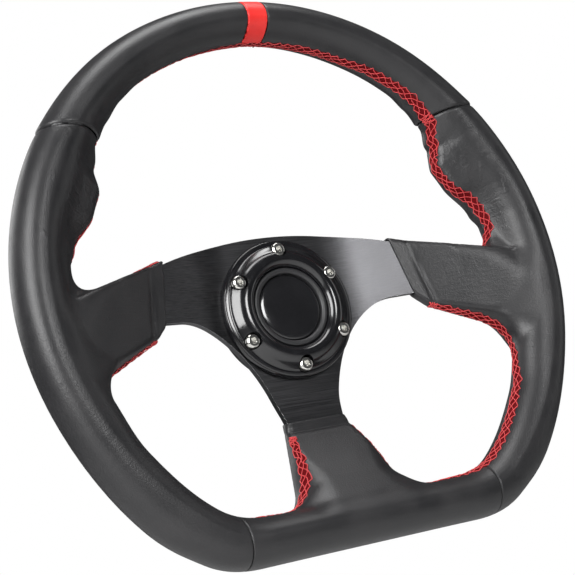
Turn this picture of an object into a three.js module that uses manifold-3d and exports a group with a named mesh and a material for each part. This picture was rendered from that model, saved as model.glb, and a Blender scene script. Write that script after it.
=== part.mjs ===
// A leather-wrapped, flat-bottomed three-spoke racing steering wheel on a pull-collar quick release hub.
//
// Everything is drawn in the wheel's own frame, in millimetres: x to the driver's right, y up,
// z towards the driver, with z = 0 on the back of the spoke plate and the hub axis along z.
// The last group turns that frame so that +Z is up and the driver sits on the -Y side, and puts
// the origin on the hub axis at the mouth of the quick release socket.

import * as THREE from "three";
import { ParametricGeometry } from "three/addons/geometries/ParametricGeometry.js";
import { mergeVertices } from "three/addons/utils/BufferGeometryUtils.js";
import Module from "manifold-3d";

const wasm = await Module();
wasm.setup();

const DEG = Math.PI / 180;
const GAP = 0.3; // clearance between pieces that touch

// Rim centre line: a circle with its bottom cut off flat.
const RIM_RADIUS = 160.5;
const RIM_CENTRE_Y = 7;
const RIM_FLAT_Y = -131;
const RIM_CORNER = 4.5; // how far the corners of the flat are rounded
const RIM_PLANE_Z = 38.5;
// Half sizes of the rim's oval section.
const RIM_OUTER = 13.4;
const RIM_INNER = 13.3;
const RIM_DEPTH = 16.6;
const GRIP_EXTRA_DEPTH = 1.8; // the two grips are a little deeper
const LEATHER = 1.6;
const HOOP_RADIUS = 6;
const GRIP_ANGLES = { start: -50, full: -10, end: 35, gone: 60 }; // where the grips are deeper, in degrees
// Thumb rests: fins on the inner side of the grips, [angle round the rim in degrees, reach].
const THUMB_REST = [[4, 0], [9, 6], [14, 12], [24, 19], [30, 20.5], [36, 11], [41, 0]];
const THUMB_REST_AIM = 195 * DEG; // inwards and slightly away from the driver
const THUMB_REST_SHARPNESS = 7;
const THUMB_REST_FOAM = 0.6; // the share of the rest's reach that foam fills
// Extra width on the inner side where the grips run down from the spokes.
const LOWER_GRIP = [[-60, -0.8], [-45, 0], [-34, 1.5], [-22, 4], [-8, 4.5], [4, 1.5], [12, 0]];

// Seams between the leather pieces.
const UPPER_SEAM = { x: 127, y: 103.5, tilt: 8.4 * DEG };
const LOWER_SEAM_X = 80;
const MARKER_WIDTH = 13;

// Spoke plate, bent from sheet: a flat hub with three arms that rise towards the driver.
const PLATE = 4.5;
const SIDE_BEND_X = 43;
const SIDE_SLOPE = 0.3;
const BOTTOM_BEND_Y = -55;
const BOTTOM_SLOPE = 0.27;
const BOTTOM_BEND_2_Y = -74;
const BOTTOM_SLOPE_2 = 0.53;
const SIDE_ARM_END = 152.5;
const BOTTOM_ARM_END = -124.6;
const HUB_HOLE = 22;

// Six screws on the hub circle.
const SCREW_CIRCLE = 35;
const SCREW_COUNT = 6;
const SCREW_HEAD = { r: 4.25, top: 13.5, height: 5 };
const SCREW_SHANK = { r: 2.5, end: -5.5 };
const SCREW_HOLE = 2.85;

// Horn button in the middle of its ring.
const HORN_RING = { inner: 24.1, outer: 42 };

// Quick release hub behind the plate; depths are measured back from the plate.
const QR_FLANGE = { r: 41, thickness: 6 };
const QR_SLEEVE = { r: 18.05, bore: 13, length: 33.5 };
const QR_SPLINE = { teeth: 20, minor: 11, start: 3.3, end: 17, slant: 0.18 };
const QR_BALL = { r: 3.175, depth: 22, proud: 1.3, count: 6 };
const QR_COLLAR = { r: 26, land: 18.4, start: 12, end: 30.5, knurls: 32 };

// How finely round things are divided: [around, across] for rings.
const SKIN_STEPS = [84, 16];
const FOAM_STEPS = [48, 10];
const HOOP_STEPS = [60, 6];
const BLADE_SIDES = 20;
const TURNED_STEPS = { ring: 44, hub: 32, screw: 14, contact: 16, hole: 12, drill: 14 };

// ---------------------------------------------------------------- helpers

function smoothMin(a, b, k) {
  const h = Math.max(k - Math.abs(a - b), 0) / k;
  return Math.min(a, b) - (h * h * k) / 4;
}

// Smooth interpolation in a short list of [position, value] pairs; flat beyond its ends.
function along(list, at) {
  if (at <= list[0][0]) return list[0][1];
  for (let i = 1; i < list.length; i++) {
    const [x0, y0] = list[i - 1];
    const [x1, y1] = list[i];
    if (at <= x1) return y0 + (y1 - y0) * THREE.MathUtils.smoothstep(at, x0, x1);
  }
  return list[list.length - 1][1];
}

// A closed three.js geometry as a manifold-3d solid, turned to face outwards.
function solid(geometry) {
  const bare = geometry.clone();
  bare.deleteAttribute("normal");
  bare.deleteAttribute("uv");
  const merged = mergeVertices(bare, 1e-4);
  const vertProperties = merged.attributes.position.array;
  const triVerts = new Uint32Array(merged.index.array);
  const made = new wasm.Manifold(new wasm.Mesh({ numProp: 3, vertProperties, triVerts }));
  if (made.volume() > 0) return made;
  for (let i = 0; i < triVerts.length; i += 3) {
    [triVerts[i + 1], triVerts[i + 2]] = [triVerts[i + 2], triVerts[i + 1]];
  }
  return new wasm.Manifold(new wasm.Mesh({ numProp: 3, vertProperties, triVerts }));
}

function geometryOf(made) {
  const mesh = made.getMesh();
  const geometry = new THREE.BufferGeometry();
  geometry.setAttribute("position", new THREE.BufferAttribute(mesh.vertProperties, 3));
  geometry.setIndex(new THREE.BufferAttribute(mesh.triVerts, 1));
  geometry.computeVertexNormals();
  return geometry;
}

function join(...pieces) {
  return pieces.reduce((whole, piece) => whole.add(piece));
}

function cut(whole, ...tools) {
  return tools.reduce((left, tool) => left.subtract(tool), whole);
}

function box(x0, x1, y0, y1, z0 = -100, z1 = 100) {
  const geometry = new THREE.BoxGeometry(x1 - x0, y1 - y0, z1 - z0);
  return solid(geometry.translate((x0 + x1) / 2, (y0 + y1) / 2, (z0 + z1) / 2));
}

// A solid turned about the hub axis; the profile is a closed loop of [radius, z].
function turned(profile, segments) {
  const points = [...profile, profile[0]].map(([r, z]) => new THREE.Vector2(r, z));
  return solid(new THREE.LatheGeometry(points, segments).rotateX(Math.PI / 2));
}

function prism(shape, z0, z1, curveSegments = 8) {
  const options = { depth: z1 - z0, bevelEnabled: false, curveSegments };
  return solid(new THREE.ExtrudeGeometry(shape, options).translate(0, 0, z0));
}

// A round bar along z between two heights.
function bar(r, z0, z1, segments, x = 0, y = 0) {
  const geometry = new THREE.CylinderGeometry(r, r, z1 - z0, segments).rotateX(Math.PI / 2);
  return solid(geometry.translate(x, y, (z0 + z1) / 2));
}

// A solid through a row of closed sections with equal numbers of points, capped at both ends.
function loft(sections) {
  const count = sections[0].length;
  const last = sections.length - 1;
  const points = sections.flat();
  const faces = [];
  for (let s = 0; s < last; s++) {
    for (let i = 0; i < count; i++) {
      const a = s * count + i;
      const b = s * count + ((i + 1) % count);
      faces.push(a, b, b + count, a, b + count, a + count);
    }
  }
  for (let i = 1; i < count - 1; i++) {
    faces.push(0, i + 1, i);
    faces.push(last * count, last * count + i, last * count + i + 1);
  }
  const geometry = new THREE.BufferGeometry().setFromPoints(points);
  geometry.setIndex(faces);
  return solid(geometry);
}

function mirrored(geometry) {
  const made = geometry.clone().scale(-1, 1, 1);
  const index = made.index.array;
  for (let i = 0; i < index.length; i += 3) {
    [index[i + 1], index[i + 2]] = [index[i + 2], index[i + 1]];
  }
  return made;
}

// The same solid on the wheel's left side.
function leftOf(made) {
  return solid(mirrored(geometryOf(made)));
}

// ---------------------------------------------------------------- rim

function rimCentre(phi) {
  const down = -Math.sin(phi);
  const toFlat = down > 0.1 ? (RIM_CENTRE_Y - RIM_FLAT_Y) / down : Infinity;
  const r = smoothMin(RIM_RADIUS, toFlat, RIM_CORNER);
  return new THREE.Vector2(r * Math.cos(phi), RIM_CENTRE_Y + r * Math.sin(phi));
}

function rimNormal(phi) {
  const step = 0.01;
  const tangent = rimCentre(phi + step).sub(rimCentre(phi - step)).normalize();
  return new THREE.Vector2(tangent.y, -tangent.x);
}

// Angle above the horizontal on either side of the wheel, in degrees.
function sideAngle(phi) {
  return Math.asin(Math.sin(phi)) / DEG;
}

// A point on the rim's surface: phi goes round the wheel, v round the section (0 outwards,
// 90 degrees towards the driver), and grow moves the surface out.
function rimPoint(phi, v, grow, thumbShare = 1) {
  const angle = sideAngle(phi);
  const { smoothstep } = THREE.MathUtils;
  const { start, full, end, gone } = GRIP_ANGLES;
  const grip = smoothstep(angle, start, full) * (1 - smoothstep(angle, end, gone));
  const inner = RIM_INNER + along(LOWER_GRIP, angle) + grow;
  const outer = RIM_OUTER + grow;
  const depth = RIM_DEPTH + GRIP_EXTRA_DEPTH * grip + grow;
  // Inside the skin the rest narrows faster, so that the foam keeps clear of it.
  const sharpness = THUMB_REST_SHARPNESS + 2.5 * Math.max(0, -grow);
  const fin = Math.max(0, Math.cos(v - THUMB_REST_AIM)) ** sharpness;
  const reach = along(THUMB_REST, angle) * thumbShare * fin;
  const across = Math.cos(v) * (Math.cos(v) > 0 ? outer : inner) + reach * Math.cos(THUMB_REST_AIM);
  const z = RIM_PLANE_Z + Math.sin(v) * depth + reach * Math.sin(THUMB_REST_AIM);
  const place = rimCentre(phi).addScaledVector(rimNormal(phi), across);
  return new THREE.Vector3(place.x, place.y, z);
}

// The whole rim as one closed ring; the section's points crowd towards the thumb rest.
function rim(grow, [around, across], thumbShare = 1) {
  const crowding = 0.45;
  const surface = (u, w, target) => {
    const s = (w - 0.5) * 2 * Math.PI;
    const v = THUMB_REST_AIM + s - crowding * Math.sin(s);
    target.copy(rimPoint(u * 2 * Math.PI, v, grow, thumbShare));
  };
  return solid(new ParametricGeometry(surface, around, across));
}

function hoop(radius) {
  const surface = (u, w, target) => {
    const phi = u * 2 * Math.PI;
    const v = w * 2 * Math.PI;
    const place = rimCentre(phi).addScaledVector(rimNormal(phi), radius * Math.cos(v));
    target.set(place.x, place.y, RIM_PLANE_Z + radius * Math.sin(v));
  };
  return solid(new ParametricGeometry(surface, ...HOOP_STEPS));
}

// ---------------------------------------------------------------- leather blades over the arms

function sideArmZ(x) {
  return PLATE / 2 + SIDE_SLOPE * Math.max(0, x - SIDE_BEND_X);
}

function bottomArmZ(y) {
  const first = BOTTOM_SLOPE * Math.max(0, BOTTOM_BEND_Y - Math.max(y, BOTTOM_BEND_2_Y));
  return PLATE / 2 + first + BOTTOM_SLOPE_2 * Math.max(0, BOTTOM_BEND_2_Y - y);
}

// Each station: the upper and lower corners, and the front and back heights at both.
const SEAM_COVER = PLATE / 2 + 1.5;
const BOTTOM_SEAM_Y = -66.5;
const SIDE_BLADE = [
  {
    top: [76, 33],
    low: [83, -3.6],
    front: [sideArmZ(76) + SEAM_COVER, sideArmZ(83) + SEAM_COVER],
    back: [sideArmZ(76) - SEAM_COVER, sideArmZ(83) - SEAM_COVER],
  },
  { top: [88, 29.5], low: [91, -11.5], front: [20, 20.6], back: [11.2, 12] },
  { top: [106, 23.8], low: [105, -20], front: [30, 29.2], back: [15.8, 15.6] },
  { top: [125, 18], low: [120, -29], front: [40.3, 37.4], back: [20.5, 19.5] },
  { top: [137, 18], low: [136, -44], front: [47, 47], back: [22, 22] },
  { top: [152, 18], low: [152, -44], front: [54, 54], back: [24, 24] },
];
const BOTTOM_BLADE = [
  {
    y: BOTTOM_SEAM_Y,
    half: 20,
    front: bottomArmZ(BOTTOM_SEAM_Y) + SEAM_COVER,
    back: bottomArmZ(BOTTOM_SEAM_Y) - SEAM_COVER,
  },
  { y: -79, half: 24, front: 15, back: 6.2 },
  { y: -98, half: 33, front: 30.5, back: 15 },
  { y: -110, half: 42, front: 40, back: 19.5 },
  { y: -120, half: 52, front: 47.5, back: 22 },
  { y: -131, half: 58, front: 53, back: 24 },
];

// The corners of a rounded square of half width 1, as [across, up] pairs.
function roundedSquare() {
  const squareness = 2 / 5;
  const bulged = (value) => Math.sign(value) * Math.abs(value) ** squareness;
  return Array.from({ length: BLADE_SIDES }, (_, i) => {
    const angle = (i / BLADE_SIDES) * 2 * Math.PI;
    return [bulged(Math.cos(angle)), bulged(Math.sin(angle))];
  });
}

// A rounded rectangle through four corners, pulled in by inset.
function roundedQuad(frontTop, frontLow, backTop, backLow, inset) {
  const middle = new THREE.Vector3().add(frontTop).add(frontLow).add(backTop).add(backLow).divideScalar(4);
  const inPlane = 1 - inset / (frontTop.distanceTo(frontLow) / 2);
  const inDepth = 1 - inset / (frontTop.distanceTo(backTop) / 2);
  return roundedSquare().map(([out, up]) => {
    const front = frontLow.clone().lerp(frontTop, (1 + up) / 2);
    const back = backLow.clone().lerp(backTop, (1 + up) / 2);
    const point = back.lerp(front, (1 + out) / 2);
    point.sub(middle).multiply(new THREE.Vector3(inPlane, inPlane, inDepth));
    return point.add(middle);
  });
}

function sideBlade(stations, inset) {
  return loft(stations.map(({ top, low, front, back }) => roundedQuad(
    new THREE.Vector3(top[0], top[1], front[0]), new THREE.Vector3(low[0], low[1], front[1]),
    new THREE.Vector3(top[0], top[1], back[0]), new THREE.Vector3(low[0], low[1], back[1]), inset)));
}

function bottomBlade(stations, inset) {
  return loft(stations.map(({ y, half, front, back }) => roundedSquare().map(([across, up]) => {
    const z = (front + back) / 2 + up * ((front - back) / 2 - inset);
    return new THREE.Vector3(across * (half - inset), y, z);
  })));
}

// ---------------------------------------------------------------- spoke plate

// Half of the outline: the arm over the right spoke and down the bottom spoke, from the top.
function plateOutline(grow) {
  const shape = new THREE.Shape();
  const arch = 44.5 + grow;
  shape.moveTo(0, arch);
  shape.quadraticCurveTo(40, arch, 76, 31.3 + grow);
  shape.lineTo(88, 27.4 + grow);
  shape.lineTo(125, 15.5 + grow);
  shape.lineTo(SIDE_ARM_END + grow, 11 + grow);
  shape.lineTo(SIDE_ARM_END + grow, -14 - grow);
  shape.lineTo(118, -13 - grow);
  shape.lineTo(92, -8 - grow);
  shape.lineTo(83, -2.2 - grow);
  shape.lineTo(70, -1.8 - grow);
  shape.bezierCurveTo(46, -2 - grow, 22 + grow, -34, 18.3 + grow, -70);
  shape.lineTo(18 + grow, BOTTOM_ARM_END - grow);
  const rightSide = shape.getPoints(8);
  const leftSide = rightSide.slice(1).reverse().map((p) => new THREE.Vector2(-p.x, p.y));
  return new THREE.Shape([...rightSide, ...leftSide]);
}

// The folded sheet seen from the side, as a band of the sheet's thickness about its middle.
function sheetBand(middle, thickness) {
  const over = middle.map(([a, z]) => new THREE.Vector2(a, z + thickness / 2));
  const under = middle.map(([a, z]) => new THREE.Vector2(a, z - thickness / 2));
  return new THREE.Shape([...over, ...under.reverse()]);
}

function foldedPlate(grow) {
  const thickness = PLATE + 2 * grow;
  const far = SIDE_ARM_END + 10;
  const across = [-far, -SIDE_BEND_X, SIDE_BEND_X, far].map((x) => [x, sideArmZ(Math.abs(x))]);
  const down = [50, BOTTOM_BEND_Y, BOTTOM_BEND_2_Y, BOTTOM_ARM_END - 10].map((y) => [y, bottomArmZ(y)]);
  const options = { depth: 400, bevelEnabled: false };
  // Drawn in x and z, then stood up so that it runs along y.
  const sideSheet = new THREE.ExtrudeGeometry(sheetBand(across, thickness), options)
    .translate(0, 0, -200).rotateX(Math.PI / 2);
  // Drawn in y and z, then turned so that it runs along x.
  const bottomSheet = new THREE.ExtrudeGeometry(sheetBand(down, thickness), options)
    .translate(0, 0, -200).rotateY(Math.PI / 2).rotateX(Math.PI / 2);
  const outline = prism(plateOutline(grow), -50, 80);
  const hubLine = -30;
  const upper = outline.intersect(solid(sideSheet)).intersect(box(-200, 200, hubLine, 80));
  const lower = outline.intersect(solid(bottomSheet)).intersect(box(-60, 60, -200, hubLine));
  return join(upper, lower);
}

// ---------------------------------------------------------------- assemble the solids

const colours = {
  leather: { color: 0x252527, roughness: 0.55, metalness: 0 },
  marker: { color: 0xc8141a, roughness: 0.5, metalness: 0 },
  thread: { color: 0xb01222, roughness: 0.7, metalness: 0 },
  foam: { color: 0x30302e, roughness: 0.95, metalness: 0 },
  steel: { color: 0x8d8f92, roughness: 0.4, metalness: 1 },
  bright: { color: 0xd0d2d4, roughness: 0.2, metalness: 1 },
  plate: { color: 0x1b1b1d, roughness: 0.4, metalness: 0.9 },
  gloss: { color: 0x0a0a0b, roughness: 0.12, metalness: 0 },
  plastic: { color: 0x18181a, roughness: 0.5, metalness: 0 },
  brass: { color: 0xb08d3c, roughness: 0.35, metalness: 1 },
  anodised: { color: 0x1a1a1c, roughness: 0.35, metalness: 0.9 },
  collar: { color: 0x5c5d60, roughness: 0.35, metalness: 0.9 },
};

const wheel = new THREE.Group();

function place(name, made, look) {
  const mesh = new THREE.Mesh(geometryOf(made), new THREE.MeshStandardMaterial(colours[look]));
  mesh.name = name;
  wheel.add(mesh);
}

// Rim: hoop, foam and the skin they fill.
const plate = foldedPlate(0);
const plateRoom = foldedPlate(GAP);
const hoopRoom = hoop(HOOP_RADIUS + GAP);
place("rim_hoop", hoop(HOOP_RADIUS), "steel");

function rimAndBlades(grow, sideStations, bottomStations, steps, thumbShare) {
  const right = sideBlade(sideStations, -grow);
  return join(rim(grow, steps, thumbShare), right, leftOf(right), bottomBlade(bottomStations, -grow));
}
const outside = rimAndBlades(0, SIDE_BLADE, BOTTOM_BLADE, SKIN_STEPS, 1);
// The foam fills the blades from their third station on, a little short of the skin's own room.
const [, , sideStart, ...sideRest] = SIDE_BLADE;
const [, , bottomStart, ...bottomRest] = BOTTOM_BLADE;
const roomSides = [sideStart, ...sideRest];
const roomBottom = [bottomStart, ...bottomRest];
const short = ([x, y]) => [x + 2 * GAP, y];
const foamSides = [{ ...sideStart, top: short(sideStart.top), low: short(sideStart.low) }, ...sideRest];
const foamBottom = [{ ...bottomStart, y: bottomStart.y - 2 * GAP }, ...bottomRest];
const inside = rimAndBlades(-LEATHER, roomSides, roomBottom, FOAM_STEPS, THUMB_REST_FOAM);
const foamBody = rimAndBlades(-LEATHER - 2 * GAP, foamSides, foamBottom, FOAM_STEPS, THUMB_REST_FOAM - 0.03);
// Where each arm meets the hoop the foam leaves a pocket for the weld.
const sideWeld = box(148, 158, -6, 6, 33, 39);
const bottomWeld = box(-6, 6, -129, -120, 32, 38);
const weldRooms = join(sideWeld, leftOf(sideWeld), bottomWeld);
place("rim_foam", cut(foamBody, hoopRoom, plateRoom, weldRooms), "foam");

// The skin is cut along its seams into the pieces that are sewn on one by one.
const skin = cut(outside, inside, plateRoom);
function belowUpperSeam(shift) {
  const block = new THREE.BoxGeometry(400, 400, 300).translate(0, -200 - shift, 0);
  return solid(block.rotateZ(UPPER_SEAM.tilt).translate(UPPER_SEAM.x, UPPER_SEAM.y, 0));
}
const gripSide = belowUpperSeam(GAP / 2);
const notTopSide = belowUpperSeam(-GAP / 2);
const markerHalf = MARKER_WIDTH / 2;
const bottomZone = box(-LOWER_SEAM_X, LOWER_SEAM_X, -200, -60);
const bottomRoom = box(-LOWER_SEAM_X - GAP, LOWER_SEAM_X + GAP, -200, -60 + GAP);
const wraps = [
  {
    side: "right",
    topZone: box(markerHalf + GAP, 200, 0, 200),
    gripZone: box(60, 200, -200, 200),
    below: gripSide,
    notTop: notTopSide,
  },
  {
    side: "left",
    topZone: box(-200, -markerHalf - GAP, 0, 200),
    gripZone: box(-200, -60, -200, 200),
    below: leftOf(gripSide),
    notTop: leftOf(notTopSide),
  },
];
wraps.forEach(({ side, topZone, gripZone, below, notTop }) => {
  place(`top_leather_${side}`, cut(skin.intersect(topZone), notTop), "leather");
  place(`${side}_grip_leather`, cut(skin.intersect(gripZone).intersect(below), bottomRoom), "leather");
});
place("centre_marker_band", skin.intersect(box(-markerHalf, markerHalf, 100, 200)), "marker");
place("bottom_leather", skin.intersect(bottomZone), "leather");

// Lacing: a thin band of thread along the inner side of the rim in each opening.
const THREAD = { stand: GAP, thick: 1, half: 3, sides: 6, degreesPerStep: 6, level: 155, onRest: 15 };
const threadRoom = rim(THREAD.stand, SKIN_STEPS);
const threadSkin = cut(rim(THREAD.stand + THREAD.thick, SKIN_STEPS), threadRoom);
function lacing(from, to) {
  const steps = Math.round((to - from) / THREAD.degreesPerStep);
  const sections = [];
  for (let i = 0; i <= steps; i++) {
    const phi = (from + ((to - from) * i) / steps) * DEG;
    const share = along(THUMB_REST, sideAngle(phi)) / 20;
    const v = (THREAD.level + THREAD.onRest * share) * DEG;
    const middle = rimPoint(phi, v, THREAD.stand + THREAD.thick / 2);
    const normal = rimNormal(phi);
    const ring = [];
    for (let k = 0; k < THREAD.sides; k++) {
      const turn = (k / THREAD.sides) * 2 * Math.PI;
      const out = THREAD.half * Math.cos(turn);
      ring.push(new THREE.Vector3(
        middle.x + normal.x * out, middle.y + normal.y * out, middle.z + THREAD.half * Math.sin(turn)));
    }
    sections.push(ring);
  }
  return loft(sections).intersect(threadSkin);
}
place("lacing_top", lacing(12, 168), "thread");
place("lacing_lower_right", lacing(-58, -26), "thread");
place("lacing_lower_left", lacing(206, 238), "thread");

// Screw circle, shared by the plate, the horn ring and the quick release flange.
function screwPlaces() {
  return Array.from({ length: SCREW_COUNT }, (_, i) => {
    const angle = ((i + 0.5) / SCREW_COUNT) * 2 * Math.PI;
    return [SCREW_CIRCLE * Math.cos(angle), SCREW_CIRCLE * Math.sin(angle)];
  });
}
const screwHoles = join(...screwPlaces().map(([x, y]) => bar(SCREW_HOLE, -20, 40, TURNED_STEPS.hole, x, y)));
place("spoke_plate", cut(plate, screwHoles, bar(HUB_HOLE, -5, 20, 40)), "plate");

// Horn ring: a domed ring that clamps the horn button to the plate.
const ringBase = PLATE + GAP;
const ringProfile = [
  [HORN_RING.inner, ringBase], [HORN_RING.outer - 0.8, ringBase], [HORN_RING.outer, ringBase + 0.8],
  [HORN_RING.outer, 8], [41.2, 9], [38.2, 9.8], [36, 11.6], [33, 14.2], [29.6, 15.6],
  [26.6, 15], [HORN_RING.inner, 12.2],
];
const counterbores = screwPlaces().map(([x, y]) =>
  bar(SCREW_HEAD.r + 0.5, SCREW_HEAD.top - SCREW_HEAD.height - GAP, 40, TURNED_STEPS.screw, x, y));
const ringBody = turned(ringProfile, TURNED_STEPS.ring);
place("horn_ring", cut(ringBody, screwHoles, join(...counterbores)), "gloss");

screwPlaces().forEach(([x, y], i) => {
  const neck = SCREW_HEAD.top - SCREW_HEAD.height;
  const body = turned([
    [0, SCREW_SHANK.end], [SCREW_SHANK.r, SCREW_SHANK.end], [SCREW_SHANK.r, neck], [SCREW_HEAD.r, neck],
    [SCREW_HEAD.r, SCREW_HEAD.top - 0.6], [SCREW_HEAD.r - 0.6, SCREW_HEAD.top], [0, SCREW_HEAD.top],
  ], TURNED_STEPS.screw);
  const socket = bar(2.3, SCREW_HEAD.top - 2.6, SCREW_HEAD.top + 1, 6);
  const screw = geometryOf(cut(body, socket)).translate(x, y, 0);
  place(`screw_${i + 1}`, solid(screw), "bright");
});

// Horn button: housing, cap that slides in it, spring, contacts and terminals.
const housing = turned([
  [0, 1], [21.6, 1], [21.6, ringBase], [23.8, ringBase], [23.8, 11.4], [23, 12.2], [21.6, 12.2],
  [20.4, 11.2], [20.4, 7.6], [21.3, 7.2], [21.3, 2.6], [0, 2.6],
], TURNED_STEPS.hub);
const terminalSlot = box(3.4, 7.4, -2, 2, 0, 4);
place("horn_housing", cut(housing, terminalSlot, leftOf(terminalSlot)), "plastic");
place("horn_cap", turned([
  [0, 9.4], [16.8, 8.9], [18.4, 8.2], [18.4, 6.2], [20.9, 6.2], [20.9, 7], [19.9, 7.3], [19.9, 9.6],
  [19, 10.4], [12, 11.2], [0, 11.6],
], TURNED_STEPS.hub), "gloss");
const movingContact = [[0, 8.2], [8, 8.2], [8, 9], [0, 9]];
place("horn_moving_contact", turned(movingContact, TURNED_STEPS.contact), "brass");
const fixedContact = [[0, 2.9], [8.5, 2.9], [8.5, 3.7], [2, 3.7], [2, 5.4], [0, 5.4]];
place("horn_fixed_contact", turned(fixedContact, TURNED_STEPS.contact), "brass");
const terminal = box(3.8, 7, -0.4, 0.4, -2.9, 2.6);
place("horn_terminal_left", leftOf(terminal), "brass");
place("horn_terminal_right", terminal, "brass");

// A coil spring about the hub axis.
function coil(radius, wire, turns, z0, z1) {
  class Helix extends THREE.Curve {
    getPoint(t, target = new THREE.Vector3()) {
      const angle = t * turns * 2 * Math.PI;
      return target.set(radius * Math.cos(angle), radius * Math.sin(angle), z0 + (z1 - z0) * t);
    }
  }
  const section = new THREE.Shape().absarc(0, 0, wire, 0, 2 * Math.PI);
  const stepsPerTurn = 14;
  const options = { steps: Math.round(turns * stepsPerTurn), extrudePath: new Helix(), curveSegments: 3 };
  return solid(new THREE.ExtrudeGeometry(section, options));
}
place("horn_spring", coil(12, 0.5, 3.5, 3.4, 7.8), "steel");

// Quick release hub, drawn with z running back from the plate as negative depths.
const sleeveEnd = -QR_SLEEVE.length;
const body = turned([
  [9, -GAP], [QR_FLANGE.r, -GAP], [QR_FLANGE.r, -QR_FLANGE.thickness + 0.6],
  [QR_FLANGE.r - 0.6, -QR_FLANGE.thickness], [24.5, -QR_FLANGE.thickness], [24.5, -7.2], [18.05, -7.2],
  [QR_SLEEVE.r, -30.5], [16.7, -30.5], [16.7, -32.1], [QR_SLEEVE.r, -32.1], [QR_SLEEVE.r, sleeveEnd + 0.6],
  [QR_SLEEVE.r - 0.6, sleeveEnd], [QR_SLEEVE.bore + 0.8, sleeveEnd], [QR_SLEEVE.bore, sleeveEnd + 0.8],
  [QR_SLEEVE.bore, -QR_SPLINE.end], [QR_SPLINE.minor, -QR_SPLINE.end], [QR_SPLINE.minor, -QR_SPLINE.start],
  [9, -QR_SPLINE.start],
], TURNED_STEPS.hub);
// Each tooth has four corners, drawn together a little so that its sides slant.
const splineShape = new THREE.Shape(Array.from({ length: QR_SPLINE.teeth * 4 }, (_, i) => {
  const slant = i % 2 ? -QR_SPLINE.slant : QR_SPLINE.slant;
  const angle = ((i + slant) / (QR_SPLINE.teeth * 4)) * 2 * Math.PI;
  const r = i % 4 < 2 ? QR_SLEEVE.bore - 0.1 : QR_SPLINE.minor - 0.6;
  return new THREE.Vector2(r * Math.cos(angle), r * Math.sin(angle));
}));
const ballPlaces = Array.from({ length: QR_BALL.count }, (_, i) => (i / QR_BALL.count) * 2 * Math.PI);
const ballHoles = join(...ballPlaces.map((angle) => {
  const r = QR_BALL.r + GAP + 0.05;
  const drill = new THREE.CylinderGeometry(r, r, 12, TURNED_STEPS.drill).rotateZ(Math.PI / 2);
  return solid(drill.translate(16, 0, -QR_BALL.depth).rotateZ(angle));
}));
const splines = prism(splineShape, -QR_SPLINE.end - 1, -QR_SPLINE.start - 0.7);
place("qr_body", cut(body, screwHoles, splines, ballHoles), "anodised");

const ballCentre = QR_SLEEVE.bore - QR_BALL.proud + QR_BALL.r;
ballPlaces.forEach((angle, i) => {
  const ball = new THREE.SphereGeometry(QR_BALL.r, 10, 6).rotateX(Math.PI / 2);
  place(`qr_ball_${i + 1}`, solid(ball.translate(ballCentre, 0, -QR_BALL.depth).rotateZ(angle)), "bright");
});

// Collar: its land holds the balls in until it is pulled towards the wheel.
const collarBody = turned([
  [23, -QR_COLLAR.start], [25, -QR_COLLAR.start], [QR_COLLAR.r, -QR_COLLAR.start - 1],
  [QR_COLLAR.r, -15.2], [24.6, -16.2], [24.6, -QR_COLLAR.end + 0.8], [23.8, -QR_COLLAR.end],
  [QR_COLLAR.land, -QR_COLLAR.end], [QR_COLLAR.land, -28.8], [20.9, -28.8], [20.9, -24.8],
  [QR_COLLAR.land, -22.3], [QR_COLLAR.land, -18.5], [23, -18.5],
], TURNED_STEPS.hub);
const knurl = new THREE.Shape(Array.from({ length: QR_COLLAR.knurls * 2 }, (_, i) => {
  const angle = (i / (QR_COLLAR.knurls * 2)) * 2 * Math.PI;
  const r = i % 2 ? 23.9 : 24.7;
  return new THREE.Vector2(r * Math.cos(angle), r * Math.sin(angle));
}));
const knurlRoom = cut(bar(30, -29, -18, 16), prism(knurl, -29.5, -17.5));
place("qr_collar", cut(collarBody, knurlRoom), "collar");
place("qr_spring", coil(20.6, 0.7, 3.5, -8.3, -17.4), "steel");

const snapArc = { inner: 17, outer: 20.2, open: 14 * DEG };
const snap = new THREE.Shape();
snap.absarc(0, 0, snapArc.outer, snapArc.open, 2 * Math.PI - snapArc.open, false);
snap.absarc(0, 0, snapArc.inner, 2 * Math.PI - snapArc.open, snapArc.open, true);
place("qr_snap_ring", prism(snap, -31.8, -30.8, 14), "steel");

// Stand the wheel up: +Z up, the driver on the -Y side, the origin at the socket's mouth.
wheel.rotation.x = Math.PI / 2;
wheel.position.y = -QR_SLEEVE.length;
const part = new THREE.Group();
part.add(wheel);

export default part;
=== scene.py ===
import math

import bmesh
import bpy
import numpy as np
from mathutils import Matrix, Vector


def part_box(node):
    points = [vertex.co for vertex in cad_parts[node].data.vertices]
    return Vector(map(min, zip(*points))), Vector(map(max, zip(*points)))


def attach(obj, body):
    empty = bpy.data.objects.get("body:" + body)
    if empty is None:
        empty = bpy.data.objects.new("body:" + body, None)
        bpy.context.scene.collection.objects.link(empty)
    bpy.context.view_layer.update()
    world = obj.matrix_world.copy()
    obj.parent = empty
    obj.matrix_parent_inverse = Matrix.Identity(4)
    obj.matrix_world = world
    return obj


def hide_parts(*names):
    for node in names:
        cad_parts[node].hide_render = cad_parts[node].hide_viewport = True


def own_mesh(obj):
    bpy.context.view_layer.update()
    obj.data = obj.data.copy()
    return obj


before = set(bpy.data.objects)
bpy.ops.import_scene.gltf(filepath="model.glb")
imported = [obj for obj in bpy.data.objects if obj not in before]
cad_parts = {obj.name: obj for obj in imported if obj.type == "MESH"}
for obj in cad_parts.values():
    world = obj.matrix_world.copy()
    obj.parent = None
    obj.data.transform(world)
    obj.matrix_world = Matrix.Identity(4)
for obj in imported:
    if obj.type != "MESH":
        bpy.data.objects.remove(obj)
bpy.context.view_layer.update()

import openvdb
from mathutils import Matrix, Vector

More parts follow.
